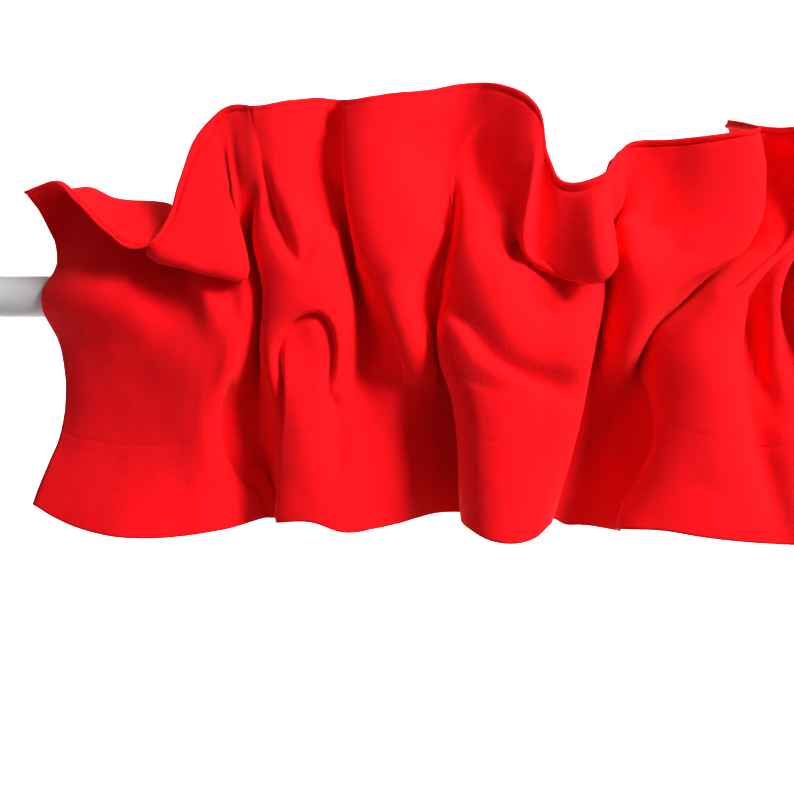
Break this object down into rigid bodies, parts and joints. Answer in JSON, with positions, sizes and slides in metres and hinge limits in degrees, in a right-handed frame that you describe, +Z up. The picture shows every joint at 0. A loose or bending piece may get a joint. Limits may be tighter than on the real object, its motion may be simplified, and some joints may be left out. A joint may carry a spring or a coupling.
{
  "type": "window valance on a curtain rod",
  "caption": "Short window curtain with a ruffled header, a pocket gathered over a round rod and a flared skirt in soft uneven folds.",
  "frame": {"origin": "centre of the rod's left end face", "axes": "+X along the rod to its right end, +Y away from the viewer towards the wall, +Z up"},
  "size_m": [0.78, 0.1401, 0.3008],
  "materials": {
    "valance_cloth": "matte fine twill",
    "curtain_rod": "matte"
  },
  "bodies": {
    "root": {"valance_cloth": "valance_cloth", "curtain_rod": "curtain_rod"}
  },
  "joints": []
}
